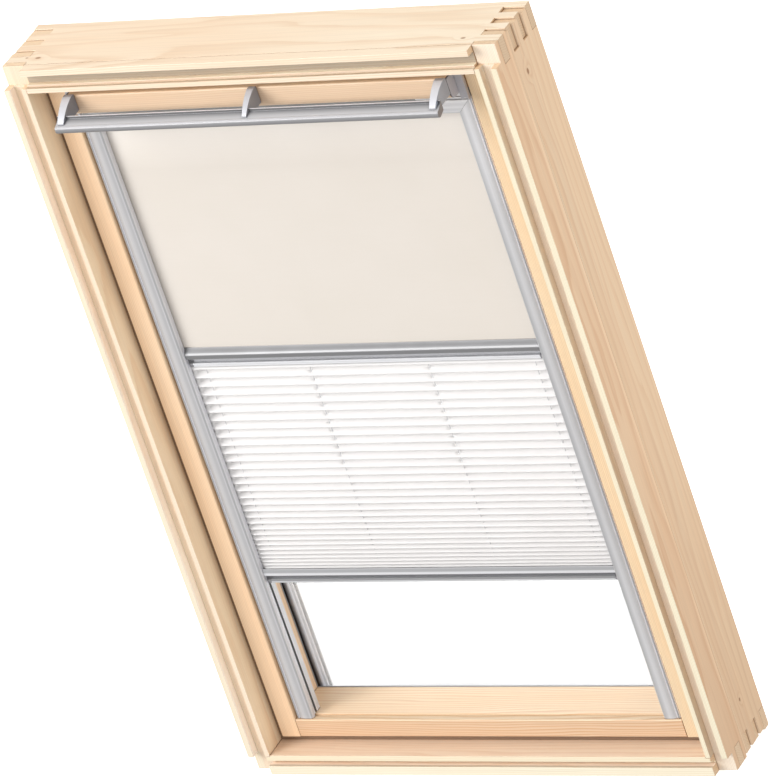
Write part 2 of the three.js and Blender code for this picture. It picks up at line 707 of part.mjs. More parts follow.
// Casing: the same face along its foot, open at the ends and at the cloth's slot
const wallFront = trimY + railRound / 2;
const slotBack = trimY + casingSlotBack;
const casingOutline = [
  ...trimFace(casingBottom, 1).map(([z, y]) => [y, z]),
  [wallFront, mitreTop], [wallFront, casingTop], [casingBack, casingTop], [casingBack, casingBottom],
  [slotBack, casingBottom], [slotBack, casingBottom + casingWall],
  [casingBack - casingWall, casingBottom + casingWall], [casingBack - casingWall, casingTop - casingWall],
  [channelFront - seam, casingTop - casingWall], [channelFront - seam, casingBottom],
];
const casingMitre = [
  [railInnerX - overrun, casingBottom - overrun], [railOuterX + overrun, mitreTop + overrun],
  [railOuterX + overrun, casingBottom - overrun],
];
const casingCut = prism(casingMitre, 'y', trimY - overrun, channelFront);
const casing = shaped(prism(casingOutline, 'x', -railOuterX, railOuterX), { cuts: [casingCut, mirrored(casingCut)] });
add('blind_casing', casing, aluminium);

// Casing end caps, each with the pin that carries the roller
const capX = railOuterX + seam;
const [capFront, capBack] = [trimY + railRound + capMargin, casingBack - capMargin];
const [capFoot, capHead] = [casingBottom + capMargin, casingTop - capMargin / 2];
const capOutline = [
  ...arc(capBack - capCornerRadius, capHead - capCornerRadius, capCornerRadius, 0, 1),
  ...arc(capFront + capCornerRadius, capHead - capCornerRadius, capCornerRadius, 1, 2),
  ...arc(capFront + capCornerRadius, capFoot + capCornerRadius, capCornerRadius, 2, 3),
  ...arc(capBack - capCornerRadius, capFoot + capCornerRadius, capCornerRadius, 3, 4),
];
const rollerPin = prism(circle(rollY, rollZ, rollerPinRadius, pinSides), 'x', capX - rollerPinLength, capX + seam);
const cap = shaped(prism(capOutline, 'x', capX, capX + capThickness), { joins: [rollerPin] });
add('casing_cap_left', mirrored(cap), greyPlastic);
add('casing_cap_right', cap, greyPlastic);

// Roller: tube, two bored plugs and the cloth wound on it
const rollerX = railOuterX - rollerEndGap;
const clothX = railInnerX + clothEdgeInRail;
const ring = (outer, inner, x0, x1) => prism(
  circle(rollY, rollZ, outer, rollerSides), 'x', x0, x1, circle(rollY, rollZ, inner, rollerSides),
);
const plugRadius = rollerRadius - rollerWall - runningGap;
const plug = ring(plugRadius, rollerPinRadius + runningGap, rollerX - plugLength, rollerX);
add('roller_tube', ring(rollerRadius, rollerRadius - rollerWall, -rollerX, rollerX), aluminium);
add('roller_plug_left', mirrored(plug), greyPlastic);
add('roller_plug_right', plug, greyPlastic);
add('wound_cloth', ring(rollRadius, rollerRadius + runningGap, -clothX, clothX), creamCloth);

// Bands: the bars that close each cloth, with a slider at each end in the rails
const bandProfile = (bottom) => {
  const recessY = bandY + bandRecessDepth;
  const lipTop = bottom + bandHeight - bandRidge - bandRecess;
  return [
    [bandY, bottom + bandHeight], [bandY, bottom + bandHeight - bandRidge],
    [recessY, bottom + bandHeight - bandRidge], [recessY, lipTop], [bandY, lipTop],
    [bandY, lipTop - bandLip], [bandY + bandLipStep, lipTop - bandLip], [bandY + bandLipStep, bottom],
    [bandY + bandDepth, bottom], [bandY + bandDepth, bottom + bandHeight],
  ];
};
function bandSlider(bottom) {
  const endCap = prism(bandProfile(bottom), 'x', bandX + seam, railInnerX - seam);
  const middle = bottom + bandHeight / 2;
  const [tongueLow, tongueHigh] = [middle - tongueHeight / 2, middle + tongueHeight / 2];
  const neck = block(
    railInnerX - seam * 2, railInnerX + tongueLength, slotFront + neckGap, railSlotBack - neckGap,
    tongueLow, tongueHigh,
  );
  const tongue = block(
    innerWallX + tongueGap, railInnerX + tongueLength, channelFront + tongueGap, channelBack - tongueGap,
    tongueLow, tongueHigh,
  );
  return shaped(endCap, { joins: [neck, tongue] });
}
for (const [name, bottom] of [['middle', middleBandBottom], ['bottom', bottomBandBottom]]) {
  const slider = bandSlider(bottom);
  add(`${name}_bar`, prism(bandProfile(bottom), 'x', -bandX, bandX), aluminium);
  add(`${name}_slider_left`, mirrored(slider), greyPlastic);
  add(`${name}_slider_right`, slider, greyPlastic);
}

// Blackout cloth, from the roller's front down to the middle bar
const middleBandTop = middleBandBottom + bandHeight;
const clothFront = clothY - clothThickness / 2;
const blackout = block(-clothX, clothX, clothFront, clothFront + clothThickness, middleBandTop + seam, rollZ);
add('blackout_cloth', blackout, creamCloth);

// Pleated cloth: folds that close up towards the bottom bar
const pleatTop = middleBandBottom - seam;
const pleatBottom = bottomBandBottom + bandHeight + seam;
const pleatX = railInnerX - pleatSideGap;
const pitches = Array.from({ length: pleatCount }, (none, i) => (
  1 - pleatFallShare * ((i / (pleatCount - 1)) ** pleatFallPower)
));
const pitchUnit = (pleatTop - pleatBottom) / pitches.reduce((sum, pitch) => sum + pitch, 0);
const frontFolds = [];
const backFolds = [];
const pleatMid = bandY + pleatDepth / 2;
let foldZ = pleatTop;
frontFolds.push([pleatMid, pleatTop]);
backFolds.push([pleatMid + pleatThickness, pleatTop]);
for (const pitch of pitches) {
  const drop = pitch * pitchUnit;
  frontFolds.push([bandY, foldZ - drop / 4], [bandY + pleatDepth - pleatThickness, foldZ - (drop * 3) / 4]);
  backFolds.push([bandY + pleatThickness, foldZ - drop / 4], [bandY + pleatDepth, foldZ - (drop * 3) / 4]);
  foldZ -= drop;
}
frontFolds.push([pleatMid, pleatBottom]);
backFolds.push([pleatMid + pleatThickness, pleatBottom]);
const pleatOutline = [...frontFolds, ...backFolds.reverse()];
add('pleated_cloth', prism(pleatOutline, 'x', -pleatX, pleatX), whiteCloth);

export default window_;
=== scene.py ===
"""Looks of a pine roof window with a two-layer blind, built around its fixed frame of parts."""
import math

import bpy
from mathutils import Matrix, Vector, noise


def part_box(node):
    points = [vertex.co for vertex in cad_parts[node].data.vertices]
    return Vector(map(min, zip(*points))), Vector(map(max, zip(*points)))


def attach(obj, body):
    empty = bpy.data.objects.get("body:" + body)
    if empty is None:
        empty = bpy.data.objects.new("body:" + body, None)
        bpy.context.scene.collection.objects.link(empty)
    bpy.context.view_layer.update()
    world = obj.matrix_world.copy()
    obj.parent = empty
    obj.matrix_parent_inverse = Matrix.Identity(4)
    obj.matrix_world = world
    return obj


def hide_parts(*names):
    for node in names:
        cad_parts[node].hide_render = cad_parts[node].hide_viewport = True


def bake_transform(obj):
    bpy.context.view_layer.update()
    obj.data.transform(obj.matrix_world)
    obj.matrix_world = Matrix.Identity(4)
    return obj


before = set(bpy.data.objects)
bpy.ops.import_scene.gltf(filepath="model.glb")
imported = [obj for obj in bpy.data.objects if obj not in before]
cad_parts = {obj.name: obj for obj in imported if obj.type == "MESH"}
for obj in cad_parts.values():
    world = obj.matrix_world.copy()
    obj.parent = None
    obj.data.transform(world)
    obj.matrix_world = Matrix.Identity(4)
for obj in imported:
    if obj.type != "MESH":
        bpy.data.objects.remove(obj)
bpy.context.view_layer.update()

MM = 0.001
AXES = "xyz"

# Camera, from a perspective fit of the photograph
CAMERA_PLACE = (5.95971, -8.47630, 5.99754)
CAMERA_RIGHT = (0.85987598, 0.41822996, -0.29274051)
CAMERA_UP = (0.01946406, 0.54615961, 0.83745497)
CAMERA_LENS = 389.84
CAMERA_SENSOR = 36.0
CAMERA_CLIP_END = 120.0

# Studio
FLOOR_REACH = 40.0
FLOOR_DROP = 0.5 * MM
FLOOR_GLOW = 0.75
SKY_BELOW = 0.58
SKY_ABOVE = 0.88
SKY_SIDE = 0.2
DOME_GLOW = 0.97
DOME_RINGS = 8
DOME_SIDES = 32
KEY_TARGET = (0, 0, 0.6)
KEY_DIRECTION = (-0.62, -0.64, 0.46)
KEY_DISTANCE = 7.0
KEY_SIZE = 5.0
KEY_POWER = 385

# Edges
WOOD_EDGE = 0.6 * MM
METAL_EDGE = 0.35 * MM
PLASTIC_EDGE = 0.5 * MM
EDGE_SEGMENTS = 2
WELD_GAP = 0.01 * MM
SHARP_ANGLE = math.radians(28)
FLAT_ANGLE = math.radians(0.4)

# How far a face has to turn to a direction to count as facing it a little and fully, and the blur of a zone's ends
FACING_SPAN = (0.72, 0.9)
ZONE_BLUR = 0.2 * MM

# The parts of a noise's range that are spread out, for an even pattern and for a fine one
EVEN = (0.3, 0.7)
FINE = (0.25, 0.75)

# Pine: stretch of each pattern along the grain and across it, and darkness from one growth ring to the next
FIGURE_STRETCH = (1.4, 12)
WOBBLE_STRETCH = (6, 80)
FIBRE_STRETCH = (12, 1100)
STREAK_STRETCH = (3, 260)
CLOUD_STRETCH = (2.0, 14)
PITH_STRETCH = (0.02, 1)
KNOT_STRETCH = (0.55, 1.0)
WARM_SPAN = (0.35, 0.65)
FIBRE_TONES = (0.93, 1.04)
STREAK_TONES = (0.96, 1.02)
RING_WOBBLE = 0.35
RING_SHADES = ((0.0, 0.25), (0.12, 0.0), (0.5, 0.14), (0.84, 0.85), (0.95, 1.0), (1.0, 0.25))
PITH = (0.075, 0.05)
END_GRAIN = (0.86, 0.8, 0.73)
KNOT_SHADE = (0.45, 0.3, 0.2)
KNOT_CORE = 0.55
KNOT_REACH = 4
KNOT_PUSH = 1.2
# Painted shade in grooves, and in narrow corners and seams, where dark joint lines meet painted shade
GROOVE_SIZE = 8 * MM
GROOVE_SHADE = (0.88, 0.86, 0.84)
JOINT_SIZE = 2.2 * MM
JOINT_SPAN = (0.5, 0.85)
JOINT_SHADE = (0.58, 0.48, 0.4)
FRAME_MIDDLE = 63.5 * MM
SIDE_KNOTS = ((0.39, 0.0072, 1.102, 3.2 * MM), (0.39, 0.0125, 0.0775, 2.2 * MM))
HEAD_KNOTS = (
    (-0.3408, -0.0291, 1.178, 3.0 * MM),
    (-0.3596, -0.0277, 1.178, 1.6 * MM),
    (0.3325, -0.0291, 1.178, 2.6 * MM),
)

# Metals: painted shade in hollows, lighter on the flanges and turned to painted light on the rails, the casing's
# trim, the place where its painted lighter right end starts, and the control bar's nose and rear, which carry
# painted highlights and shade
DRAW_STRETCH = (6, 1600)
RECESS_SIZE = 7 * MM
RECESS_SHADE = (0.42, 0.42, 0.44)
RECESS_PAINTED_LIGHT = (1.35, 1.35, 1.37)
FLANGE_RECESS_SHADE = (0.8, 0.8, 0.8)
TRIM_WIDTH = 26.5 * MM
CASING_END = 225 * MM
NOSE_HEIGHT = 11 * MM
BAR_REAR = 4 * MM
SEALANT_EDGES = (310.5 * MM, 314 * MM)

# Flange along the top of each bar, which covers the end of the cloth above it. A slope is the height over which
# the flange runs back to the cloth.
FLANGE_RISES = {"middle_bar": 3.5 * MM, "bottom_bar": 8 * MM}
FLANGE_SLOPES = {"middle_bar": 9 * MM, "bottom_bar": 0}
FLANGE_FOOT = 2.9 * MM
FLANGE_THICKNESS = 0.7 * MM
FLANGE_PROUD = 2.8 * MM
FLANGE_END_GAP = 0.3 * MM
SURFACE_GAP = 0.05 * MM

# Blackout cloth and its roll
CLOTH_THICKNESS = 0.4 * MM
CLOTH_ROWS = 120
CLOTH_COLUMNS = 60
CLOTH_WAVE = 0.6 * MM
CLOTH_WAVE_PITCH = (5, 4)
CLOTH_WAVE_LAYER = 2.3
HEM_HEIGHT = 13 * MM
HEM_PROUD = 0.25 * MM
ROLL_TURNS = 9
ROLL_CORE = 10.6 * MM
ROLL_STEPS = 48

# Pleated cloth: the pleats get less high towards the bottom, and flatter at the ends
PLEAT_COUNT = 32
PLEAT_FALL_SHARE = 0.72
PLEAT_FALL_POWER = 1.9
PLEAT_STEPS = 16
PLEAT_SHARPNESS = 0.94
PLEAT_THICKNESS = 0.3 * MM
PLEAT_COLUMNS = 60
PLEAT_WANDER = 0.35 * MM
WANDER_PITCH = (14, 55)
WANDER_LAYER = 4.1
WANDER_START = 8 * MM
CORD_PLACES = (-264 * MM, -95 * MM, 95 * MM, 264 * MM)
SLOT_PLACES = (-95 * MM, 95 * MM)
CORD_RADIUS = 0.55 * MM
CORD_SIDES = 8
CORD_ROWS = 24
SLOT_WIDTH = 2.0 * MM
SLOT_STEPS = 2
SLOT_PLEATS = 13
EDGE_TAPER = 6 * MM
EDGE_REACH = 4 * MM
EDGE_DEPTH = 1.7 * MM
EDGE_SHIFT = -1.9 * MM
EDGE_COLUMNS = (-EDGE_TAPER, -EDGE_TAPER * 2 / 3, -EDGE_TAPER / 3, EDGE_REACH / 2, EDGE_REACH)


def rgb(red, green, blue):
    """A display colour with parts from 0 to 255, as the linear colour that a shader takes."""
    def linear(part):
        share = part / 255
        return share / 12.92 if share <= 0.04045 else ((share + 0.055) / 1.055) ** 2.4
    return (linear(red), linear(green), linear(blue), 1.0)


def greys(tones):
    """Stops of a colour ramp from pairs of a place and a grey."""
    return [(place, (tone, tone, tone, 1)) for place, tone in tones]


class Finish:
    """A material and its node tree, with short calls that add and join nodes."""

    def __init__(self, name, color, **constants):
        self.material = bpy.data.materials.new(name)
        self.material.use_nodes = True
        self.nodes = self.material.node_tree.nodes
        self.links = self.material.node_tree.links
        self.shader = self.nodes["Principled BSDF"]
        self.shader.inputs["Base Color"].default_value = color
        for socket, value in constants.items():
            self.shader.inputs[socket.replace("_", " ")].default_value = value

    def put(self, socket, value):
        if isinstance(value, bpy.types.NodeSocket):
            self.links.new(value, socket)
        else:
            socket.default_value = value

    def add(self, kind, inputs, **settings):
        node = self.nodes.new(kind)
        for key, value in settings.items():
            setattr(node, key, value)
        for key, value in inputs.items():
            self.put(node.inputs[key], value)
        return node

    def place(self, scale, offset=(0, 0, 0)):
        """The point on the object, moved by offset metres and then stretched by scale."""
        point = self.add("ShaderNodeTexCoord", {}).outputs["Object"]
        moved = self.add("ShaderNodeVectorMath", {0: point, 1: offset}, operation="ADD").outputs[0]
        return self.add("ShaderNodeVectorMath", {0: moved, 1: scale}, operation="MULTIPLY").outputs[0]

    def noise(self, point, detail=3.0, roughness=0.55):
        inputs = {"Vector": point, "Scale": 1.0, "Detail": detail, "Roughness": roughness}
        return self.add("ShaderNodeTexNoise", inputs).outputs["Fac"]

    def count(self, operation, a, b=0.0):
        return self.add("ShaderNodeMath", {0: a, 1: b}, operation=operation).outputs[0]

    def spread(self, value, low, high, start=0.0, end=1.0):
        """Value from low to high, as a number from start to end."""
        inputs = {"Value": value, "From Min": low, "From Max": high, "To Min": start, "To Max": end}
        return self.add("ShaderNodeMapRange", inputs).outputs["Result"]

    def ramp(self, value, stops):
        node = self.add("ShaderNodeValToRGB", {"Fac": value})
        elements = node.color_ramp.elements
        while len(elements) < len(stops):
            elements.new(0.5)
        for element, (position, color) in zip(elements, stops):
            element.position = position
            element.color = color
        return node.outputs["Color"]

    def mix(self, share, a, b, blend="MIX"):
        node = self.add("ShaderNodeMix", {}, data_type="RGBA", blend_type=blend)
        self.put(node.inputs[0], share)
        self.put(node.inputs[6], a)
        self.put(node.inputs[7], b)
        return node.outputs[2]

    def hollow(self, distance, low=0.4, high=0.95):
        """How deep the surface lies in a hollow of about this size, from 0 in the open to 1."""
        node = self.add("ShaderNodeAmbientOcclusion", {"Distance": distance}, samples=8)
        return self.spread(node.outputs["AO"], high, low)

    def along(self, axis):
        """The coordinate on the object along axis."""
        point = self.add("ShaderNodeTexCoord", {}).outputs["Object"]
        return self.add("ShaderNodeSeparateXYZ", {0: point}).outputs[AXES.index(axis)]

    def facing(self, direction, *zones):
        """1 where the surface faces along direction inside all zones (axis, start, end), and 0 elsewhere."""
        normal = self.add("ShaderNodeTexCoord", {}).outputs["Normal"]
        dot = self.add("ShaderNodeVectorMath", {0: normal, 1: direction}, operation="DOT_PRODUCT")
        share = self.spread(dot.outputs["Value"], *FACING_SPAN)
        for axis, start, end in zones:
            middle, half = (start + end) / 2, (end - start) / 2
            away = self.count("ABSOLUTE", self.count("SUBTRACT", self.along(axis), middle))
            inside = self.spread(away, half + ZONE_BLUR, half - ZONE_BLUR)
            share = self.count("MULTIPLY", share, inside)
        return share

    def tint(self, share, base, factors):
        """Base times factors, as far as share goes."""
        return self.mix(share, base, tuple(factors) + (1,), "MULTIPLY")

    def toned(self, color, tone):
        """Color times one number."""
        shade = self.add("ShaderNodeCombineXYZ", {0: tone, 1: tone, 2: tone}).outputs[0]
        return self.mix(1.0, color, shade, "MULTIPLY")

    def color(self, value):
        self.put(self.shader.inputs["Base Color"], value)

    def rough(self, value, low, high):
        self.put(self.shader.inputs["Roughness"], self.spread(value, *EVEN, low, high))

    def bump(self, height, strength, distance):
        inputs = {"Height": height, "Strength": strength, "Distance": distance}
        node = self.add("ShaderNodeBump", inputs)
        self.put(self.shader.inputs["Normal"], node.outputs["Normal"])


def stretched(axis, along, across):
    """A scale for each axis: along the grain's axis, and across it."""
    return tuple(along if name == axis else across for name in AXES)


def pine(name, axis, seed, tones, ring_gap, drift, painted_shading=(), knots=(), show=(0.5, 0.2),
         end_grain=END_GRAIN, groove=GROOVE_SHADE, painted_gradient=None):
    """Lacquered pine whose grain runs along axis, with growth rings round a pith beside the timber.

    Drift is how far the figure bends a ring, and show is how strongly the rings show where the wood is pale and
    where it is warm. Painted shading gives painted light and shade to the faces that look along a direction,
    inside zones, and the painted gradient tints the faces along a direction more and more between two places on an
    axis, as painted light and shade. Groove is the painted shade in grooves.
    """
    light, warm, line = tones
    finish = Finish(name, light, Roughness=0.45, Coat_Weight=0.22, Coat_Roughness=0.28)
    shift = [0.37 * seed + 1.3, 0.21 * seed + 2.1, 0.53 * seed + 0.7]
    offsets = iter((PITH[0] + 0.006 * (seed % 5), PITH[1] + 0.009 * (seed % 3)))
    centre = [0.0 if axis_name == axis else next(offsets) for axis_name in AXES]
    figure = finish.noise(finish.place(stretched(axis, *FIGURE_STRETCH), shift), 2.5)
    wobble = finish.noise(finish.place(stretched(axis, *WOBBLE_STRETCH), shift), 2.0)
    fibre = finish.noise(finish.place(stretched(axis, *FIBRE_STRETCH), shift), 5.0, 0.7)
    streak = finish.noise(finish.place(stretched(axis, *STREAK_STRETCH), shift), 3.0, 0.6)
    cloud = finish.noise(finish.place(stretched(axis, *CLOUD_STRETCH), (seed, 0, seed)), 2.0)
    point = finish.place(stretched(axis, *PITH_STRETCH), centre)
    radius = finish.add("ShaderNodeVectorMath", {0: point}, operation="LENGTH").outputs["Value"]
    radius = finish.count("ADD", radius, finish.spread(figure, 0, 1, -drift, drift))
    spots = None
    for x, y, z, size in knots:
        point = finish.place(stretched(axis, *KNOT_STRETCH), (-x, -y, -z))
        away = finish.add("ShaderNodeVectorMath", {0: point}, operation="LENGTH").outputs["Value"]
        radius = finish.count("ADD", radius, finish.spread(away, 0, size * KNOT_REACH, size * KNOT_PUSH, 0))
        spot = finish.spread(away, size, size * KNOT_CORE)
        spots = spot if spots is None else finish.count("MAXIMUM", spots, spot)
    rings = finish.count("DIVIDE", radius, ring_gap)
    rings = finish.count("ADD", rings, finish.spread(wobble, 0, 1, -RING_WOBBLE, RING_WOBBLE))
    late = finish.ramp(finish.count("FRACT", rings), greys(RING_SHADES))
    body = finish.mix(finish.spread(cloud, *WARM_SPAN), light, warm)
    grain = finish.mix(finish.count("MULTIPLY", late, finish.spread(cloud, *EVEN, *show)), body, line)
    fibre_tone = finish.spread(fibre, *FINE, *FIBRE_TONES)
    streak_tone = finish.spread(streak, *EVEN, *STREAK_TONES)
    color = finish.toned(grain, finish.count("MULTIPLY", fibre_tone, streak_tone))
    along = tuple(1.0 if axis_name == axis else 0.0 for axis_name in AXES)
    for sign in (1, -1):
        color = finish.tint(finish.facing(tuple(sign * part for part in along)), color, end_grain)
    # Painted light and shade on faces that look along a direction, and a painted gradient of it along an axis
    for direction, factors, *zones in painted_shading:
        color = finish.tint(finish.facing(direction, *zones), color, factors)
    if painted_gradient:
        direction, fade_axis, start, end, factors = painted_gradient
        faded = finish.spread(finish.along(fade_axis), start, end)
        color = finish.tint(finish.count("MULTIPLY", finish.facing(direction), faded), color, factors)
    if spots is not None:
        color = finish.tint(spots, color, KNOT_SHADE)
    # Painted shade in grooves, then dark joint lines with painted shade in the narrowest corners and seams
    color = finish.tint(finish.hollow(GROOVE_SIZE), color, groove)
    color = finish.tint(finish.hollow(JOINT_SIZE, *JOINT_SPAN), color, JOINT_SHADE)
    finish.color(color)
    finish.rough(fibre, 0.38, 0.52)
    finish.bump(finish.count("ADD", finish.count("MULTIPLY", late, 0.35), fibre), 0.25, 0.15 * MM)
    return finish.material


def brushed(name, color, axis, seed, roughness=0.42, metallic=0.35, painted_tones=(), painted_shading=(), recess=RECESS_SHADE):
    """Satin anodised metal, with fine draw lines along axis.

    Each of the painted tones gives painted highlights and shade across one side of an extrusion: its direction
    (None for every side), an axis, two ends, the tones between them, and the zones that it keeps to. Painted
    shading tints the sides that face a direction, as painted light and shade.
    """
    finish = Finish(name, color, Metallic=metallic, Roughness=roughness)
    lines = finish.noise(finish.place(stretched(axis, *DRAW_STRETCH), (seed, seed, seed)), 3.0)
    cloud = finish.noise(finish.place((30, 30, 30), (seed, 0, 0)), 2.0)
    shaded = finish.toned(color, finish.spread(lines, *FINE, 0.95, 1.04))
    for direction, form_axis, start, end, tones, *zones in painted_tones:
        across = finish.ramp(finish.spread(finish.along(form_axis), start, end), greys(tones))
        share = finish.facing(direction, *zones) if direction else 1.0
        shaded = finish.mix(share, shaded, finish.mix(1.0, shaded, across, "MULTIPLY"))
    for direction, factors, *zones in painted_shading:
        shaded = finish.tint(finish.facing(direction, *zones), shaded, factors)
    # Painted shade in hollows; recess factors above one paint light there instead
    shaded = finish.tint(finish.hollow(RECESS_SIZE), shaded, recess)
    finish.color(shaded)
    mixed = finish.count("ADD", finish.count("MULTIPLY", lines, 0.6), finish.count("MULTIPLY", cloud, 0.4))
    finish.rough(mixed, roughness - 0.05, roughness + 0.07)
    finish.bump(lines, 0.12, 0.05 * MM)
    return finish.material


def grained(name, color, roughness, grain=1400, painted_shading=(), **constants):
    """Moulded or lacquered surface with a fine even grain."""
    finish = Finish(name, color, Roughness=roughness, **constants)
    fine = finish.noise(finish.place((grain,) * 3), 2.0)
    cloud = finish.noise(finish.place((25,) * 3, (3, 1, 2)), 2.0)
    shaded = finish.toned(color, finish.spread(cloud, *EVEN, 0.96, 1.03))
    # Painted light and shade on the sides that face a direction
    for direction, factors, *zones in painted_shading:
        shaded = finish.tint(finish.facing(direction, *zones), shaded, factors)
    finish.color(shaded)
    finish.rough(fine, roughness - 0.06, roughness + 0.06)
    finish.bump(fine, 0.25, 0.05 * MM)
    return finish.material


def woven(name, color, shadow, thread=0.55 * MM, strength=0.3, painted_top_light=None):
    """Plain weave: threads along x and z pass over and under each other.

    The painted top light brightens the cloth more and more from one height to another, up to its factors: painted
    light that lifts the shade which the control bar and casing cast on the cloth.
    """
    finish = Finish(name, color, Roughness=0.82, Sheen_Weight=0.15, Sheen_Roughness=0.5)
    turns = math.pi / thread
    across = finish.count("SINE", finish.count("MULTIPLY", finish.along("x"), turns))
    along = finish.count("SINE", finish.count("MULTIPLY", finish.along("z"), turns))
    weave = finish.spread(finish.count("MULTIPLY", across, along), -1, 1)
    cloud = finish.noise(finish.place((9, 9, 9), (2, 5, 1)), 3.0)
    slub = finish.noise(finish.place((20, 20, 700), (1, 1, 4)), 2.0)
    mixed = finish.count("ADD", finish.count("MULTIPLY", cloud, 0.7), finish.count("MULTIPLY", slub, 0.3))
    tone = finish.mix(finish.spread(mixed, *EVEN), color, shadow)
    if painted_top_light:
        start, end, factors = painted_top_light
        tone = finish.tint(finish.spread(finish.along("z"), start, end), tone, factors)
    finish.color(tone)
    finish.rough(weave, 0.76, 0.88)
    finish.bump(weave, strength, 0.06 * MM)
    return finish.material


def clear_glass():
    finish = Finish("clear_glass", (0.97, 0.985, 0.98, 1), Roughness=0.0, IOR=1.45, Transmission_Weight=1.0)
    finish.shader.inputs["Alpha"].default_value = 0.3
    haze = finish.noise(finish.place((6, 6, 6)), 2.0)
    finish.put(finish.shader.inputs["Roughness"], finish.spread(haze, *EVEN, 0.0, 0.02))
    return finish.material


def spacer_metal():
    """Grey spacer between the panes, with black sealant along its outer edges."""
    low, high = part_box("glass_spacer")
    finish = Finish("spacer_metal", rgb(170, 175, 180), Metallic=0.3, Roughness=0.45)
    share = finish.spread(finish.along("y"), low.y, high.y)
    wander = finish.noise(finish.place((60, 60, 60)), 2.0)
    uneven = finish.count("ADD", share, finish.spread(wander, 0, 1, -0.03, 0.03))
    # The sides are painted darker towards the front and lighter towards the back, as painted shade, with a dark
    # strip at their back edge
    sides = finish.ramp(uneven, [
        (0.0, rgb(150, 150, 158)), (0.1, rgb(188, 189, 197)), (0.3, rgb(224, 226, 232)),
        (0.7, rgb(242, 244, 249)), (0.9, rgb(246, 247, 251)), (0.97, rgb(120, 122, 126)),
    ])
    sealant = finish.spread(finish.count("ABSOLUTE", finish.along("x")), *SEALANT_EDGES)
    front = finish.ramp(sealant, [(0.0, rgb(176, 176, 184)), (1.0, rgb(30, 29, 32))])
    finish.color(finish.mix(finish.facing((0, -1, 0)), sides, front))
    return finish.material


def soften(node, width):
    """Rounds a part's sharp edges and keeps its flat faces flat."""
    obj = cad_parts[node]
    weld = obj.modifiers.new("weld", "WELD")
    weld.merge_threshold = WELD_GAP
    clean = obj.modifiers.new("clean", "DECIMATE")
    clean.decimate_type = "DISSOLVE"
    clean.angle_limit = FLAT_ANGLE
    bevel = obj.modifiers.new("edge", "BEVEL")
    bevel.width = width
    bevel.segments = EDGE_SEGMENTS
    bevel.limit_method = "ANGLE"
    bevel.angle_limit = SHARP_ANGLE
    bevel.use_clamp_overlap = False
    bevel.harden_normals = False
    smooth = obj.modifiers.new("shade", "WEIGHTED_NORMAL")
    smooth.keep_sharp = True


def paint(node, material):
    mesh_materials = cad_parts[node].data.materials
    mesh_materials.clear()
    mesh_materials.append(material)


def dress(nodes, material, width):
    for node in nodes:
        soften(node, width)
        paint(node, material)


def new_piece(name, points, faces, material, smooth=True):
    mesh = bpy.data.meshes.new(name)
    mesh.from_pydata([tuple(point) for point in points], [], faces)
    mesh.materials.append(material)
    mesh.polygons.foreach_set("use_smooth", [smooth] * len(mesh.polygons))
    mesh.update()
    obj = bpy.data.objects.new(name, mesh)
    bpy.context.scene.collection.objects.link(obj)
    return obj


def thicken(obj, thickness):
    """Gives a single layer its thickness, as a closed mesh."""
    solid = obj.modifiers.new("thickness", "SOLIDIFY")
    solid.thickness = thickness
    solid.offset = 0.0
    solid.use_even_offset = True
    bpy.context.view_layer.update()
    graph = bpy.context.evaluated_depsgraph_get()
    made = bpy.data.meshes.new_from_object(obj.evaluated_get(graph))
    obj.modifiers.clear()
    obj.data = made


def stretch_between(obj):
    """Bakes a cloth's placement into its mesh."""
    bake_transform(obj)


def grid_faces(rows, columns, skip=()):
    """Quads of a grid of points, row by row, without the cells in skip."""
    return [
        (row * columns + column, row * columns + column + 1,
         (row + 1) * columns + column + 1, (row + 1) * columns + column)
        for row in range(rows - 1) for column in range(columns - 1)
        if (row, column) not in skip
    ]


def bar_flange(bar, body, material, back):
    """A flange on a bar's front that rises over the end of the cloth above it, and reaches back to a depth."""
    low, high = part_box(bar)
    front = low.y - FLANGE_PROUD
    foot, top = high.z - FLANGE_FOOT, high.z + FLANGE_RISES[bar]
    shelf, wall = high.z + SURFACE_GAP, low.y - SURFACE_GAP
    back_top = top + FLANGE_SLOPES[bar]
    outline = [(front, foot), (wall, foot), (wall, shelf), (back, shelf), (back, back_top), (front, top)]
    count = len(outline)
    ends = (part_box("rail_left")[1].x + FLANGE_END_GAP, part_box("rail_right")[0].x - FLANGE_END_GAP)
    points = [(x, y, z) for x in ends for y, z in outline]
    faces = [tuple(range(count)), tuple(range(2 * count - 1, count - 1, -1))]
    faces += [(i, i + count, (i + 1) % count + count, (i + 1) % count) for i in range(count)]
    flange = new_piece(bar + "_flange", points, faces, material, False)
    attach(flange, body)


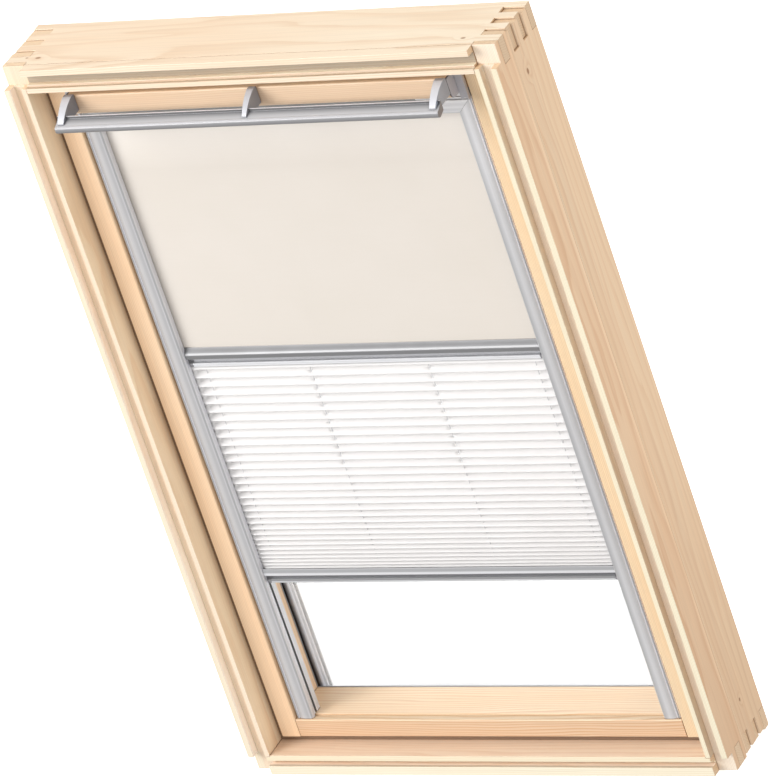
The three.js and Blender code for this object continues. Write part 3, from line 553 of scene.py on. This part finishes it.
def blackout_cloth(material, hem_material):
    """The cream cloth from the roll down to the middle bar, with its hem."""
    low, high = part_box("blackout_cloth")
    depth = (low.y + high.y) / 2
    top, bottom = high.z, low.z
    points = []
    for row in range(CLOTH_ROWS + 1):
        z = top + (bottom - top) * row / CLOTH_ROWS
        for column in range(CLOTH_COLUMNS + 1):
            x = low.x + (high.x - low.x) * column / CLOTH_COLUMNS
            free = math.sin(math.pi * row / CLOTH_ROWS) * math.sin(math.pi * column / CLOTH_COLUMNS)
            wave = noise.noise(Vector((x * CLOTH_WAVE_PITCH[0], CLOTH_WAVE_LAYER, z * CLOTH_WAVE_PITCH[1])))
            points.append((x, depth - CLOTH_WAVE * wave * free, z))
    faces = grid_faces(CLOTH_ROWS + 1, CLOTH_COLUMNS + 1)
    cloth = new_piece("blackout_cloth_sheet", points, faces, material)
    thicken(cloth, CLOTH_THICKNESS)
    hem_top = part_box("middle_bar")[1].z + HEM_HEIGHT
    stretch_between(cloth)
    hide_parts("blackout_cloth")
    # The hem is a strip in front of the cloth's foot; its darker grey is painted shade over the middle bar
    hem_depth = depth - CLOTH_THICKNESS / 2 - HEM_PROUD
    hem_points = [(x, hem_depth, z) for z in (hem_top, bottom) for x in (low.x, high.x)]
    hem = new_piece("blackout_cloth_hem", hem_points, [(0, 1, 3, 2)], hem_material)
    thicken(hem, HEM_PROUD)
    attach(hem, "middle_band")


def wound_cloth(material):
    """The roll: cloth wound in a spiral over the tube."""
    low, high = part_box("wound_cloth")
    centre = (low + high) / 2
    outer = (high.z - low.z) / 2 - CLOTH_THICKNESS
    steps = ROLL_TURNS * ROLL_STEPS
    points = []
    for step in range(steps + 1):
        angle = 2 * math.pi * step / ROLL_STEPS
        radius = ROLL_CORE + (outer - ROLL_CORE) * step / steps
        for x in (low.x, high.x):
            points.append((x, centre.y - radius * math.cos(angle), centre.z + radius * math.sin(angle)))
    roll = new_piece("wound_cloth_roll", points, grid_faces(steps + 1, 2), material)
    thicken(roll, CLOTH_THICKNESS / 2)
    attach(roll, "roller")
    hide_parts("wound_cloth")


def pleat_profile():
    """Depth and height of the pleated cloth from its top to its bottom, and its flat length."""
    low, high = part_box("pleated_cloth")
    drops = [
        1 - PLEAT_FALL_SHARE * (pleat / (PLEAT_COUNT - 1)) ** PLEAT_FALL_POWER
        for pleat in range(PLEAT_COUNT)
    ]
    unit = (high.z - low.z) / sum(drops)
    middle = (low.y + high.y) / 2
    reach = (high.y - low.y) / 2 - PLEAT_THICKNESS
    line = []
    z = high.z
    for drop in drops:
        for step in range(PLEAT_STEPS):
            turn = step / PLEAT_STEPS
            wave = math.asin(PLEAT_SHARPNESS * math.sin(2 * math.pi * turn)) / math.asin(PLEAT_SHARPNESS)
            line.append((middle - reach * wave, z - drop * unit * turn))
        z -= drop * unit
    line.append((middle, low.z))
    length = sum(math.dist(line[i], line[i + 1]) for i in range(len(line) - 1))
    return line, length


def pleat_columns(low, high):
    """Where the cloth's columns of points lie, closer together at the slots and at the ends."""
    columns = [low + (high - low) * share / PLEAT_COLUMNS for share in range(PLEAT_COLUMNS + 1)]
    edges = [place + side * SLOT_WIDTH / 2 for place in SLOT_PLACES for side in (-1, 1)]
    clear = [x for x in columns if all(abs(x - place) > SLOT_WIDTH for place in SLOT_PLACES)]
    ends = [side * (high + reach) for side in (-1, 1) for reach in EDGE_COLUMNS]
    return sorted(clear + edges + ends)


def pleated_cloth(material, cord_material):
    """The white cloth: pleats whose flatter ends run in the rails' slots.

    The upper folds, which stand open, have slots for the middle cords.
    """
    low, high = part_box("pleated_cloth")
    line, length = pleat_profile()
    columns = pleat_columns(low.x, high.x)
    middle, half_depth = (low.y + high.y) / 2, (high.y - low.y) / 2
    points = []
    for y, z in line:
        for x in columns:
            free = min(1.0, (high.z - z) / WANDER_START, (z - low.z) / WANDER_START)
            wave = noise.noise(Vector((x * WANDER_PITCH[0], WANDER_LAYER, z * WANDER_PITCH[1])))
            inward = min(1.0, max(0.0, (high.x - abs(x)) / EDGE_TAPER))
            opened = math.sin(inward * math.pi / 2)
            limit = EDGE_DEPTH + (half_depth - EDGE_DEPTH) * opened
            reach = (y - middle) * limit / half_depth
            points.append((x, middle + reach + EDGE_SHIFT * (1 - opened), z + wave * PLEAT_WANDER * free))
    slots = set()
    for place in SLOT_PLACES:
        column = next(i for i, x in enumerate(columns) if x > place) - 1
        for half_fold in range(1, 2 * SLOT_PLEATS):
            row = half_fold * PLEAT_STEPS // 2
            slots |= {(row + step, column) for step in range(-SLOT_STEPS // 2, SLOT_STEPS - SLOT_STEPS // 2)}
    cloth = new_piece("pleated_cloth_sheet", points, grid_faces(len(line), len(columns), slots), material)
    thicken(cloth, PLEAT_THICKNESS)
    stretch_between(cloth)
    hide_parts("pleated_cloth")
    for number, place in enumerate(CORD_PLACES):
        tension_cord(f"tension_cord_{number + 1}", place, middle, high.z, low.z, cord_material)


def tension_cord(name, across, depth, top, bottom, material):
    """A straight round cord from the middle bar to the bottom bar."""
    angles = [2 * math.pi * side / CORD_SIDES for side in range(CORD_SIDES)]
    ring = [(across + CORD_RADIUS * math.cos(angle), depth + CORD_RADIUS * math.sin(angle)) for angle in angles]
    points = [
        (x, y, top + (bottom - top) * row / CORD_ROWS) for row in range(CORD_ROWS + 1) for x, y in ring
    ]
    faces = [
        (row * CORD_SIDES + side, row * CORD_SIDES + (side + 1) % CORD_SIDES,
         (row + 1) * CORD_SIDES + (side + 1) % CORD_SIDES, (row + 1) * CORD_SIDES + side)
        for row in range(CORD_ROWS) for side in range(CORD_SIDES)
    ]
    faces.append(tuple(range(CORD_SIDES))[::-1])
    faces.append(tuple(CORD_ROWS * CORD_SIDES + side for side in range(CORD_SIDES)))
    cord = new_piece(name, points, faces, material)
    stretch_between(cord)


def make_camera():
    data = bpy.data.cameras.new("camera")
    data.lens = CAMERA_LENS
    data.sensor_width = CAMERA_SENSOR
    data.clip_end = CAMERA_CLIP_END
    right, up = Vector(CAMERA_RIGHT), Vector(CAMERA_UP)
    back = right.cross(up)
    camera = bpy.data.objects.new("camera", data)
    camera.matrix_world = Matrix.Translation(CAMERA_PLACE) @ Matrix((right, up, back)).transposed().to_4x4()
    bpy.context.scene.collection.objects.link(camera)
    bpy.context.scene.camera = camera


def unlit_backdrop(obj):
    """A stage piece that shows to the camera and through the glass, and lights nothing."""
    obj.visible_diffuse = False
    obj.visible_glossy = False
    obj.visible_shadow = False


def make_floor():
    """A wide pale floor with a faint shadow, and a pale dome behind it."""
    corners = [(-1, -1), (1, -1), (1, 1), (-1, 1)]
    points = [(FLOOR_REACH * x, FLOOR_REACH * y, -FLOOR_DROP) for x, y in corners]
    finish = Finish("pale_floor", rgb(232, 232, 235), Roughness=0.9)
    finish.shader.inputs["Emission Color"].default_value = (1, 1, 1, 1)
    finish.shader.inputs["Emission Strength"].default_value = FLOOR_GLOW
    unlit_backdrop(new_piece("floor", points, [(0, 1, 2, 3)], finish.material, False))
    sky = Finish("pale_dome", (0, 0, 0, 1), Roughness=1.0, Specular_IOR_Level=0.0)
    sky.shader.inputs["Emission Color"].default_value = (1, 1, 1, 1)
    sky.shader.inputs["Emission Strength"].default_value = DOME_GLOW
    dome = []
    for ring in range(DOME_RINGS):
        rise = math.pi * ring / 2 / DOME_RINGS
        for side in range(DOME_SIDES + 1):
            turn = 2 * math.pi * side / DOME_SIDES
            dome.append((
                FLOOR_REACH * math.cos(rise) * math.cos(turn), FLOOR_REACH * math.cos(rise) * math.sin(turn),
                FLOOR_REACH * math.sin(rise) - FLOOR_DROP * 2,
            ))
    dome_faces = grid_faces(DOME_RINGS, DOME_SIDES + 1)
    unlit_backdrop(new_piece("dome", dome, dome_faces, sky.material))


def area_light(name, place, target, size, power):
    data = bpy.data.lights.new(name, "AREA")
    data.shape = "DISK"
    data.size = size
    data.energy = power
    light = bpy.data.objects.new(name, data)
    light.location = place
    light.rotation_euler = (Vector(target) - Vector(place)).to_track_quat("-Z", "Y").to_euler()
    bpy.context.scene.collection.objects.link(light)


def make_light():
    """An even studio: a soft surround, lighter above and at the right, and a large key from the upper left."""
    world = bpy.data.worlds.new("studio")
    world.use_nodes = True
    nodes, links = world.node_tree.nodes, world.node_tree.links
    height = nodes.new("ShaderNodeSeparateXYZ")
    links.new(nodes.new("ShaderNodeTexCoord").outputs["Generated"], height.inputs[0])
    level = nodes.new("ShaderNodeMapRange")
    for socket, value in {"From Min": -1, "From Max": 1, "To Min": SKY_BELOW, "To Max": SKY_ABOVE}.items():
        level.inputs[socket].default_value = value
    links.new(height.outputs[2], level.inputs["Value"])
    side = nodes.new("ShaderNodeMath")
    side.operation = "MULTIPLY_ADD"
    links.new(height.outputs[0], side.inputs[0])
    side.inputs[1].default_value = SKY_SIDE
    links.new(level.outputs["Result"], side.inputs[2])
    background = nodes["Background"]
    background.inputs["Color"].default_value = (1, 1, 1, 1)
    links.new(side.outputs[0], background.inputs["Strength"])
    bpy.context.scene.world = world
    place = Vector(KEY_TARGET) + Vector(KEY_DIRECTION).normalized() * KEY_DISTANCE
    area_light("key", place, KEY_TARGET, KEY_SIZE, KEY_POWER)
    bpy.context.scene.view_settings.view_transform = "Standard"
    bpy.context.scene.view_settings.look = "None"


# Directions of faces, main colours, and the painted light on the timbers' front faces
FRONT, UP, RIGHT, BOWED = (0, -1, 0), (0, 0, 1), (1, 0, 0), (0, -0.77, 0.64)
FRAME_TONES = (rgb(248, 225, 194), rgb(247, 219, 185), rgb(222, 176, 130))
SASH_TONES = (rgb(247, 222, 188), rgb(245, 211, 172), rgb(222, 170, 120))
ALUMINIUM = rgb(198, 198, 200)
FRONT_PAINTED_LIGHT = (1.0, 1.06, 1.16)


def depths(front, back):
    """A zone between two depths, counted from the front of the frame's outer ridge."""
    return ("y", front * MM - FRAME_MIDDLE, back * MM - FRAME_MIDDLE)


def span(axis, start, end):
    """A zone between two places along an axis, in millimetres."""
    return (axis, start * MM, end * MM)


# Painted light and shade on the timbers' faces, lighter or darker by how light falls on each: direction, factors
# and zones
HEAD_PAINTED_SHADING = [
    (FRONT, FRONT_PAINTED_LIGHT),
    (FRONT, (0.54, 0.55, 0.55), depths(10, 16)),
    (UP, (0.66, 0.66, 0.66), depths(0, 6), span("z", 1100, 1160)),
    (UP, (1.03, 1.14, 1.22), depths(6.6, 13.5), span("z", 1100, 1160)),
    (FRONT, (0.96, 0.94, 0.94), depths(5, 8)),
    (UP, (1.0, 1.02, 1.06), span("z", 1170, 1190)),
]
SILL_PAINTED_SHADING = [
    (FRONT, FRONT_PAINTED_LIGHT),
    (FRONT, (1.02, 1.13, 1.16), span("z", -1, 16)),
    (FRONT, (1.0, 1.06, 1.02), span("z", 16, 40)),
    (UP, (0.89, 0.88, 0.94), depths(1, 127)),
    (UP, (1.25, 1.4, 1.6), depths(5, 13), span("z", 0, 20)),
    (UP, (0.76, 0.86, 0.92), depths(0, 5), span("z", 0, 20)),
]
LEFT_PAINTED_SHADING = [
    (FRONT, FRONT_PAINTED_LIGHT),
    (FRONT, (0.98, 1.06, 1.08), span("x", -391, -378)),
    (RIGHT, (1.12, 1.36, 1.8), span("x", -384, -376)),
    (RIGHT, (1.07, 1.12, 1.14), span("x", -358, -351)),
]
RIGHT_PAINTED_SHADING = [
    (FRONT, FRONT_PAINTED_LIGHT),
    (FRONT, (0.99, 1.08, 1.06), depths(-1, 6)),
    (RIGHT, (0.99, 0.9, 0.82), span("x", 380, 396)),
    (FRONT, (1.06, 1.1, 1.16), depths(10, 16)),
    (RIGHT, (0.77, 0.9, 1.06), span("x", 359, 365)),
    (RIGHT, (1.0, 0.95, 0.91), depths(0, 43)),
    (RIGHT, (1.09, 1.1, 1.12), depths(43, 49.5)),
    (RIGHT, (1.04, 1.06, 1.07), depths(80, 127)),
]
BOTTOM_RAIL_PAINTED_SHADING = [
    (FRONT, (0.86, 0.79, 0.77), depths(34, 40)),
    (UP, (1.02, 1.07, 1.14), depths(46.5, 127)),
    (UP, (0.8, 0.82, 0.84), depths(34, 46.5)),
]
# Painted shade on the right jamb's side, darker towards the bottom, and painted light on the head's top, lighter
# towards the right
SIDE_PAINTED_SHADE = (RIGHT, "z", 560 * MM, 40 * MM, (0.86, 0.82, 0.78))
TOP_PAINTED_LIGHT = (UP, "x", -100 * MM, 400 * MM, (1.04, 1.1, 1.14))
OPEN_GROOVE = (1.0, 1.0, 1.0)
JAMB_END_GRAIN = (0.95, 0.92, 0.88)
# Gap between the growth rings, and their drift: in a timber that lies and in one that stands
FRAME_RINGS = {"x": (3.4 * MM, 14 * MM), "z": (2.2 * MM, 7 * MM)}
SASH_RINGS = {"x": (3.4 * MM, 26 * MM), "z": (2.4 * MM, 8 * MM)}

# Pine of the frame, the flap and the sash
# Each timber carries its painted light and shade; the flap's front is painted darker, as painted shade
for number, (timber, grain, painted_shading, knots, end_grain, groove, painted_gradient) in enumerate([
    ("frame_head", "x", HEAD_PAINTED_SHADING, HEAD_KNOTS, END_GRAIN, GROOVE_SHADE, TOP_PAINTED_LIGHT),
    ("frame_sill", "x", SILL_PAINTED_SHADING, (), END_GRAIN, OPEN_GROOVE, None),
    ("frame_left_jamb", "z", LEFT_PAINTED_SHADING, (), JAMB_END_GRAIN, OPEN_GROOVE, None),
    ("frame_right_jamb", "z", RIGHT_PAINTED_SHADING, SIDE_KNOTS, END_GRAIN, OPEN_GROOVE, SIDE_PAINTED_SHADE),
    ("ventilation_flap", "x", [(FRONT, (0.9, 0.86, 0.86))], (), END_GRAIN, GROOVE_SHADE, None),
]):
    material = pine(
        timber + "_pine", grain, number + 1, FRAME_TONES, *FRAME_RINGS[grain], painted_shading=painted_shading, knots=knots,
        end_grain=end_grain, groove=groove, painted_gradient=painted_gradient,
    )
    dress([timber], material, WOOD_EDGE)
# The stiles' fronts and the bottom rail carry painted light and shade
for number, (timber, grain, painted_shading, show) in enumerate([
    ("sash_left_stile", "z", [(FRONT, (1.08, 1.08, 1.11))], (0.6, 0.3)),
    ("sash_right_stile", "z", [(FRONT, (0.98, 1.04, 1.05))], (0.8, 0.4)),
    ("sash_top_rail", "x", [], (0.5, 0.2)), ("sash_bottom_rail", "x", BOTTOM_RAIL_PAINTED_SHADING, (0.8, 0.4)),
]):
    material = pine(
        timber + "_pine", grain, number + 11, SASH_TONES, *SASH_RINGS[grain], painted_shading=painted_shading, show=show,
    )
    dress([timber], material, WOOD_EDGE)

# Painted highlights and shade across the crowned front of a rail from left to right, and painted light on the
# right rail from its foot up, strongest at the top
RAIL_TONES = (
    (0.0, 0.8), (0.1, 0.76), (0.2, 0.86), (0.3, 1.0), (0.42, 1.14), (0.55, 1.08), (0.68, 0.94), (0.77, 0.92),
    (0.83, 1.05), (0.87, 1.1), (0.92, 0.6), (1.0, 0.5),
)
RAIL_HEIGHT_TONES = ((0.0, 1.1), (0.35, 1.0), (0.6, 1.02), (0.82, 1.07), (0.95, 1.25), (1.0, 1.35))
# Painted highlights and shade on the casing's front from its foot up, and painted light on its right end, where it
# catches more light
CASING_TONES = (
    (0.0, 0.66), (0.11, 0.9), (0.19, 1.2), (0.26, 1.12), (0.34, 0.9), (0.5, 0.72), (0.66, 0.5), (0.74, 0.38),
    (0.81, 0.5), (0.9, 0.9), (0.97, 0.45),
)
CASING_END_TONES = (
    (0.0, 1.1), (0.15, 1.4), (0.3, 1.25), (0.42, 1.5), (0.55, 1.3), (0.7, 1.5), (0.85, 1.25), (1.0, 1.6),
)
# Painted highlights and shade on the control bar's deck from its front to its rear, on its nose from its foot up,
# and on all its sides from front to rear
DECK_TONES = (
    (0.0, 1.35), (0.1, 1.42), (0.22, 1.26), (0.4, 1.04), (0.6, 0.78), (0.8, 0.46), (0.85, 0.32), (0.87, 1.9),
)
NOSE_TONES = ((0.0, 0.3), (0.14, 0.5), (0.3, 0.68), (0.7, 0.8), (1.0, 1.0))
NOSE_DEPTH_TONES = ((0.0, 0.84), (0.2, 0.86), (0.32, 1.0), (1.0, 1.0))
# Painted highlights and shade on a bar's front from its foot up, and on the flange over it, which has a slope on
# the middle bar
MIDDLE_BAR_TONES = ((0.0, 1.6), (0.31, 1.5), (0.34, 1.3), (0.6, 1.5), (0.79, 1.2), (0.82, 0.8))
BOTTOM_BAR_TONES = (
    (0.0, 0.95), (0.1, 1.2), (0.18, 1.2), (0.21, 0.55), (0.6, 0.62), (0.79, 0.85), (0.82, 1.4),
)
MIDDLE_FLANGE_TONES = ((0.0, 0.48), (0.6, 0.44), (0.85, 0.52), (1.0, 0.8))
MIDDLE_SLOPE_TONES = (
    (0.0, 0.62), (0.06, 0.76), (0.2, 0.72), (0.3, 0.38), (0.45, 0.3), (0.6, 0.27), (0.8, 0.31), (1.0, 0.44),
)
BOTTOM_FLANGE_TONES = ((0.0, 1.45), (0.34, 1.35), (0.4, 0.95), (0.5, 0.8), (0.85, 0.84), (1.0, 1.15))

# Metals
bar_low, bar_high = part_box("control_bar")
# Control bar: painted highlights and shade on its deck and nose, and painted shade on its right end and on the
# front faces at its rear
control_metal = brushed(
    "satin_aluminium_control", rgb(188, 187, 189), "x", seed=4,
    painted_tones=[
        (UP, "y", bar_low.y, bar_high.y, DECK_TONES),
        (FRONT, "z", bar_low.z, bar_low.z + NOSE_HEIGHT, NOSE_TONES),
        (None, "y", bar_low.y, bar_high.y, NOSE_DEPTH_TONES),
    ],
    painted_shading=[
        (RIGHT, (0.56, 0.57, 0.6)),
        (FRONT, (0.42, 0.42, 0.42), ("y", bar_high.y - BAR_REAR, bar_high.y)),
    ],
)
dress(["control_bar"], control_metal, METAL_EDGE)
dress(["roller_tube"], brushed("satin_aluminium_across", ALUMINIUM, "x", seed=1), METAL_EDGE)
cloth_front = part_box("blackout_cloth")[0].y - CLOTH_THICKNESS - HEM_PROUD
for bar, body, bar_tones, flange_tones in (
    ("middle_bar", "middle_band", MIDDLE_BAR_TONES, MIDDLE_FLANGE_TONES),
    ("bottom_bar", "bottom_band", BOTTOM_BAR_TONES, BOTTOM_FLANGE_TONES),
):
    low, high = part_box(bar)
    # Painted highlights and shade on the bar's front
    bar_form = (FRONT, "z", low.z, high.z, bar_tones)
    dress([bar], brushed("satin_aluminium_" + bar, ALUMINIUM, "x", seed=6, painted_tones=[bar_form]), METAL_EDGE)
    flange_top, slope = high.z + FLANGE_RISES[bar], FLANGE_SLOPES[bar]
    flange_forms = [(FRONT, "z", high.z - FLANGE_FOOT, flange_top, flange_tones)]
    flange_back = low.y - FLANGE_PROUD + FLANGE_THICKNESS
    if slope:
        flange_forms.append((BOWED, "z", flange_top, flange_top + slope, MIDDLE_SLOPE_TONES))
        flange_back = cloth_front
    # The flange: painted highlights and shade, painted light on its top, and lighter painted shade in its hollows
    flange_metal = brushed(
        "satin_flange_of_" + bar, ALUMINIUM, "x", seed=7, painted_tones=flange_forms, painted_shading=[(UP, (1.1, 1.1, 1.1))],
        recess=FLANGE_RECESS_SHADE,
    )
    bar_flange(bar, body, flange_metal, flange_back)
casing_low, casing_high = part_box("blind_casing")
trim_top = casing_low.z + TRIM_WIDTH
# Painted highlights and shade on the casing's trim, and painted light on its right end
casing_forms = [
    (FRONT, "z", casing_low.z, trim_top, CASING_TONES, ("x", casing_low.x, CASING_END)),
    (FRONT, "z", casing_low.z, trim_top, CASING_END_TONES, ("x", CASING_END, casing_high.x)),
]
casing_metal = brushed("satin_aluminium_casing", ALUMINIUM, "x", seed=3, painted_tones=casing_forms)
dress(["blind_casing"], casing_metal, METAL_EDGE)
for rail in ("rail_left", "rail_right"):
    low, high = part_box(rail)
    rail_forms = [(FRONT, "x", low.x, high.x, RAIL_TONES)]
    if rail == "rail_right":
        rail_forms.append((None, "z", low.z, high.z, RAIL_HEIGHT_TONES))
    # Painted highlights and shade across the rail, painted light towards the right rail's top, on faces that look
    # right, and in the rail's hollows
    rail_metal = brushed(
        "satin_aluminium_" + rail, ALUMINIUM, "z", seed=2, painted_tones=rail_forms, recess=RECESS_PAINTED_LIGHT,
        painted_shading=[(RIGHT, (1.25, 1.25, 1.27))],
    )
    dress([rail], rail_metal, METAL_EDGE)
# Brackets: webs painted darker at the left and middle and lighter at the right, as painted shade and light, and
# painted light on the bowed fronts
for bracket, web, front in (
    ("bracket_left", (0.55, 0.57, 0.62), (1.45, 1.45, 1.47)),
    ("bracket_middle", (0.75, 0.76, 0.8), (1.35, 1.35, 1.37)),
    ("bracket_right", (1.0, 1.12, 1.28), (1.5, 1.5, 1.52)),
):
    bracket_metal = grained(
        bracket + "_grey", rgb(176, 176, 179), 0.42, Metallic=0.3, painted_shading=[(RIGHT, web), (BOWED, front)],
    )
    dress([bracket], bracket_metal, METAL_EDGE)
cover_metal = grained("cover_lacquer", rgb(112, 114, 116), 0.55)
dress(["cover_left", "cover_right", "cover_top", "cover_bottom"], cover_metal, METAL_EDGE)
steel = brushed("zinc_steel", rgb(168, 168, 172), "z", seed=5, roughness=0.4, metallic=0.95)
dress([
    "pivot_plate_left", "pivot_plate_right", "pivot_disc_left", "pivot_disc_right", "striker_plate",
    "lock_case", "latch_bolt", "flap_pin_left", "flap_pin_right",
], steel, METAL_EDGE)

# Plastics, rubber and glass
plastic = grained("grey_plastic", rgb(150, 149, 152), 0.5, Specular_IOR_Level=0.45)
dress([
    "casing_cap_left", "casing_cap_right", "roller_plug_left", "roller_plug_right", "middle_slider_left",
    "middle_slider_right", "bottom_slider_left", "bottom_slider_right",
], plastic, PLASTIC_EDGE)
# The flap caps' right faces are painted lighter, as painted light
dark_plastic = grained(
    "dark_grey_plastic", rgb(112, 111, 115), 0.5, Specular_IOR_Level=0.45, painted_shading=[(RIGHT, (3.1, 3.3, 3.5))],
)
dress(["flap_cap_left", "flap_cap_right"], dark_plastic, PLASTIC_EDGE)
bearing_plastic = grained("bearing_grey_plastic", rgb(186, 185, 190), 0.5, Specular_IOR_Level=0.45)
dress(["flap_bearing_left", "flap_bearing_right"], bearing_plastic, PLASTIC_EDGE)
rubber = grained("seal_rubber", rgb(140, 114, 92), 0.7, 900)
dress(["seal_head", "seal_sill", "seal_left", "seal_right"], rubber, METAL_EDGE)
dress(["glazing_gasket"], grained("gasket_rubber", rgb(160, 159, 163), 0.7, 900), METAL_EDGE)
glass = clear_glass()
for pane in ("inner_pane", "outer_pane"):
    paint(pane, glass)
paint("glass_spacer", spacer_metal())

# Cloths and cords
# The cream cloth is painted lighter near its top, as painted light
cream = woven(
    "cream_cloth", rgb(222, 214, 205), rgb(219, 211, 201), painted_top_light=(985 * MM, 1055 * MM, (1.22, 1.24, 1.27)),
)
# The hem's darker grey is painted shade over the middle bar
hem_cloth_painted_shade = woven("hem_cloth_painted_shade", rgb(196, 191, 185), rgb(192, 187, 181))
white = woven("white_cloth", rgb(238, 236, 235), rgb(235, 233, 232), strength=0.2)
cord_finish = woven("cord", rgb(214, 214, 214), rgb(196, 196, 198), thread=0.3 * MM)
blackout_cloth(cream, hem_cloth_painted_shade)
wound_cloth(cream)
pleated_cloth(white, cord_finish)

make_camera()
make_floor()
make_light()
